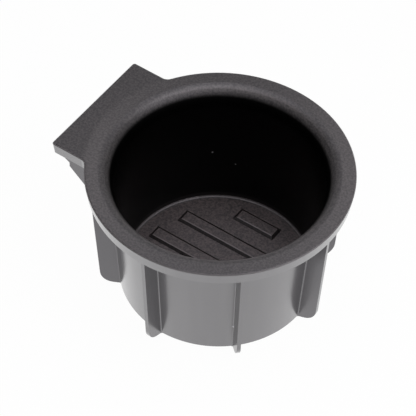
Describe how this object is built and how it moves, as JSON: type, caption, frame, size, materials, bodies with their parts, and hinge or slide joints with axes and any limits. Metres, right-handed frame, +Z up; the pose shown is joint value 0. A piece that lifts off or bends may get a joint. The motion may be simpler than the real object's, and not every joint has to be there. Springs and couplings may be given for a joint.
{
  "type": "cup holder insert",
  "caption": "Drop-in car cup holder insert: a tapered round cup with a wide flat rim, a square tab, upright outer fins and raised bars across its floor.",
  "frame": {"origin": "centre of the flat underside", "axes": "+Z up along the cup's axis, -X towards the tab, Y across the tab"},
  "size_m": [0.1084, 0.1002, 0.0575],
  "materials": {
    "black_plastic": "fine grain on the rim, tab and floor, smooth satin on the outside"
  },
  "bodies": {
    "root": {"cup_holder_insert": "black_plastic"}
  },
  "joints": []
}
